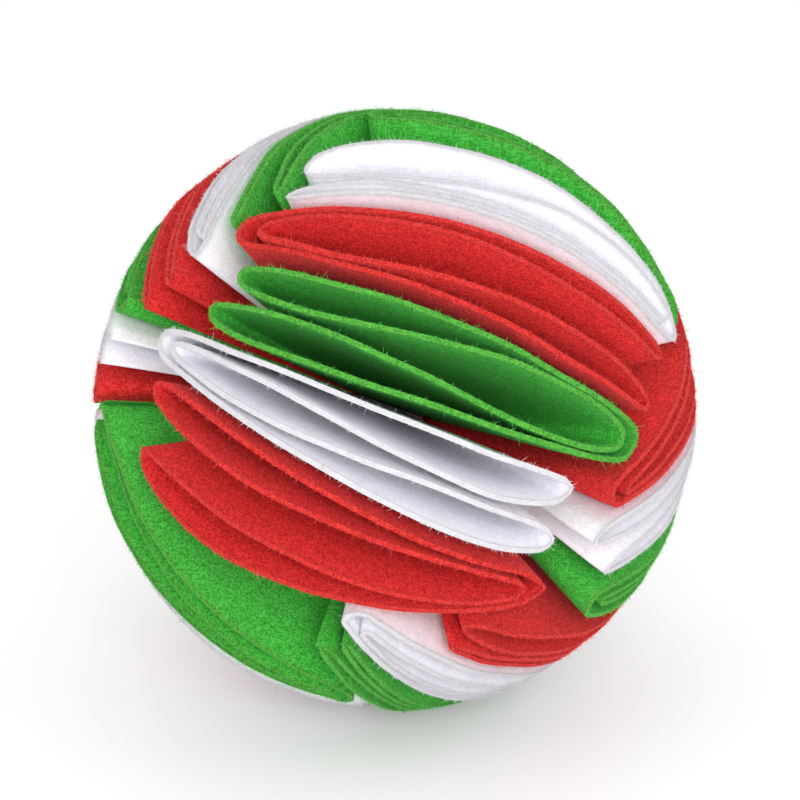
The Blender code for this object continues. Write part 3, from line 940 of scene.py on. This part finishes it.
def add_camera():
    """The camera looks down at the ball from straight ahead."""
    data = bpy.data.cameras.new("camera")
    data.sensor_width = 36
    data.lens = studio().lens
    camera = link(bpy.data.objects.new("camera", data))
    elevation = studio().camera_elevation
    back = Vector((0, -math.cos(elevation), math.sin(elevation)))
    rise = Vector((0, math.sin(elevation), math.cos(elevation)))
    right = Vector((1, 0, 0))
    camera.location = (back * studio().camera_distance
                       + right * AIM_RIGHT + rise * AIM_UP)
    camera.rotation_euler = (math.pi / 2 - elevation, 0, 0)
    bpy.context.scene.camera = camera


# Operators

class BunchOperator:
    """Makes the six felt petals of one bunch."""

    bunch = ""

    def execute(self, context):
        add_bunch(self.bunch)
        return {"FINISHED"}


class SNUFFLE_BALL_OT_front_bunch(BunchOperator, bpy.types.Operator):
    """Make the front bunch's six folded felt petals, with the loose fibres of their cuts"""

    bl_idname = "snuffle_ball.front_bunch"
    bl_label = "Front Bunch"
    bunch = "front"


class SNUFFLE_BALL_OT_right_bunch(BunchOperator, bpy.types.Operator):
    """Make the right bunch's six folded felt petals, with the loose fibres of their cuts"""

    bl_idname = "snuffle_ball.right_bunch"
    bl_label = "Right Bunch"
    bunch = "right"


class SNUFFLE_BALL_OT_left_bunch(BunchOperator, bpy.types.Operator):
    """Make the left bunch's six folded felt petals, with the loose fibres of their cuts"""

    bl_idname = "snuffle_ball.left_bunch"
    bl_label = "Left Bunch"
    bunch = "left"


class SNUFFLE_BALL_OT_back_bunch(BunchOperator, bpy.types.Operator):
    """Make the back bunch's six folded felt petals, with the loose fibres of their cuts"""

    bl_idname = "snuffle_ball.back_bunch"
    bl_label = "Back Bunch"
    bunch = "back"


class SNUFFLE_BALL_OT_tie_threads(bpy.types.Operator):
    """Make the twisted thread through the points of each bunch's petals"""

    bl_idname = "snuffle_ball.tie_threads"
    bl_label = "Tie Threads"

    def execute(self, context):
        for name, bunch in BUNCHES.items():
            thread = add_thread(f"{name}_twisted_thread", bunch)
            thread.data.materials.append(thread_material())
            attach(thread, "root")
            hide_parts(f"{name}_thread")
        return {"FINISHED"}


class SNUFFLE_BALL_OT_centre_knot(bpy.types.Operator):
    """Make the wound knot that ties the four threads at the ball's centre"""

    bl_idname = "snuffle_ball.centre_knot"
    bl_label = "Centre Knot"

    def execute(self, context):
        knot = add_knot("wound_knot")
        knot.data.materials.append(thread_material())
        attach(knot, "root")
        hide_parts("centre_knot")
        return {"FINISHED"}


class SNUFFLE_BALL_OT_stage(bpy.types.Operator):
    """Set up the pale paper, the soft light and the camera"""

    bl_idname = "snuffle_ball.stage"
    bl_label = "Stage"

    def execute(self, context):
        add_floor()
        add_room()
        add_soft_box("overhead_soft_box", studio().overhead_power, OVERHEAD_SIZE, OVERHEAD_PLACE)
        add_soft_box("front_soft_box", studio().front_power, FRONT_SIZE, FRONT_PLACE)
        add_camera()
        context.scene.view_settings.view_transform = "Standard"
        return {"FINISHED"}


class SNUFFLE_BALL_PT_panel(bpy.types.Panel):
    """The ball's pieces, sizes and colours"""

    bl_idname = "SNUFFLE_BALL_PT_panel"
    bl_label = "Snuffle Ball"
    bl_space_type = "VIEW_3D"
    bl_region_type = "UI"
    bl_category = "Snuffle Ball"

    def draw(self, context):
        layout = self.layout
        layout.use_property_split = True
        for operator in OPERATORS:
            layout.operator(operator.bl_idname)
        for title, group in (("Sizes", sizes()), ("Finish", finish()), ("Studio", studio())):
            box = layout.box()
            box.label(text=title)
            for name in group.bl_rna.properties.keys():
                if name not in ("rna_type", "name"):
                    box.prop(group, name)


OPERATORS = (
    SNUFFLE_BALL_OT_front_bunch,
    SNUFFLE_BALL_OT_right_bunch,
    SNUFFLE_BALL_OT_left_bunch,
    SNUFFLE_BALL_OT_back_bunch,
    SNUFFLE_BALL_OT_tie_threads,
    SNUFFLE_BALL_OT_centre_knot,
    SNUFFLE_BALL_OT_stage,
)
GROUPS = {
    "snuffle_ball_sizes": SnuffleBallSizes,
    "snuffle_ball_finish": SnuffleBallFinish,
    "snuffle_ball_studio": SnuffleBallStudio,
}


def register():
    for item in (*GROUPS.values(), *OPERATORS, SNUFFLE_BALL_PT_panel):
        bpy.utils.register_class(item)
    for name, group in GROUPS.items():
        setattr(bpy.types.Scene, name, bpy.props.PointerProperty(type=group))


def unregister():
    for name in GROUPS:
        delattr(bpy.types.Scene, name)
    for item in (SNUFFLE_BALL_PT_panel, *reversed(OPERATORS), *GROUPS.values()):
        bpy.utils.unregister_class(item)


def main():
    register()
    bpy.ops.snuffle_ball.front_bunch()
    bpy.ops.snuffle_ball.right_bunch()
    bpy.ops.snuffle_ball.left_bunch()
    bpy.ops.snuffle_ball.back_bunch()
    bpy.ops.snuffle_ball.tie_threads()
    bpy.ops.snuffle_ball.centre_knot()
    bpy.ops.snuffle_ball.stage()


if __name__ == "__main__":
    main()
